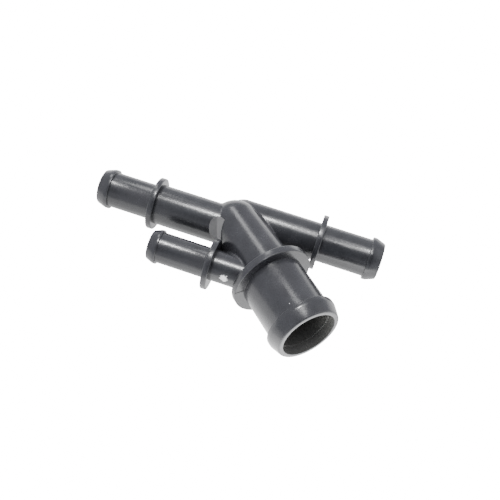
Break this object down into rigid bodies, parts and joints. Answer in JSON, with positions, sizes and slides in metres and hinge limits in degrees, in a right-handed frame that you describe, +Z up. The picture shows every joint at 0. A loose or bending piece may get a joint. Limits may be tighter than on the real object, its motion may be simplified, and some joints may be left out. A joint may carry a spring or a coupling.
{
  "type": "four-way hose connector",
  "caption": "Moulded branching connector with barbed tubes in one plane: a wide angled outlet, a left and right run side by side, and a small side tube.",
  "frame": {"origin": "middle of the footprint, on the surface that the part lies on", "axes": "+X along the run towards the right tube, +Z up as the part lies at rest on its left, right and wide collars, +Y away from the wide tube"},
  "size_m": [0.1544, 0.0872, 0.0447],
  "materials": {
    "moulded_plastic": "satin"
  },
  "bodies": {
    "root": {"connector": "moulded_plastic"}
  },
  "joints": []
}
